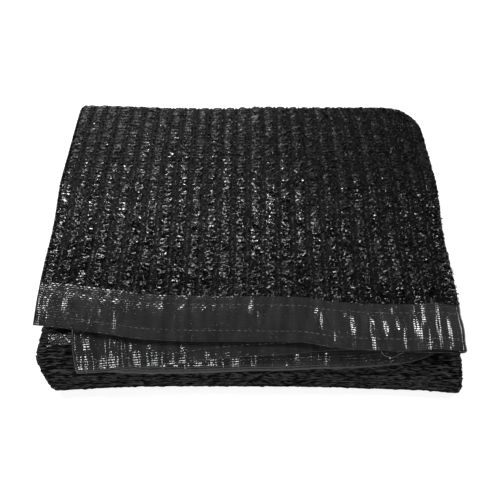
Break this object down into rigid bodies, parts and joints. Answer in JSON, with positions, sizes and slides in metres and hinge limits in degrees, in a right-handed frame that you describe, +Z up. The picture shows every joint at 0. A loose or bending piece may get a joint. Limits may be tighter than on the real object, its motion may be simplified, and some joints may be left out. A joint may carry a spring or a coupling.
{
  "type": "light blocking shade net",
  "caption": "Knitted black light blocking net with a stitched woven-tape binding, folded into a soft flat stack with its bound edge fanned at the front.",
  "frame": {"origin": "on the surface, under the middle of the folded stack's outline", "axes": "+Z up, the bound edge faces -Y, +X to the right of someone who faces the bound edge"},
  "size_m": [0.3297, 0.3184, 0.0654],
  "materials": {
    "knitted_net": "glossy black polyethylene tape yarn, knitted in raised rows",
    "binding_tape": "satin black woven polyethylene tape with light grey stitching"
  },
  "bodies": {
    "root": {"shade_net": "knitted_net", "edge_binding": "binding_tape"}
  },
  "joints": []
}
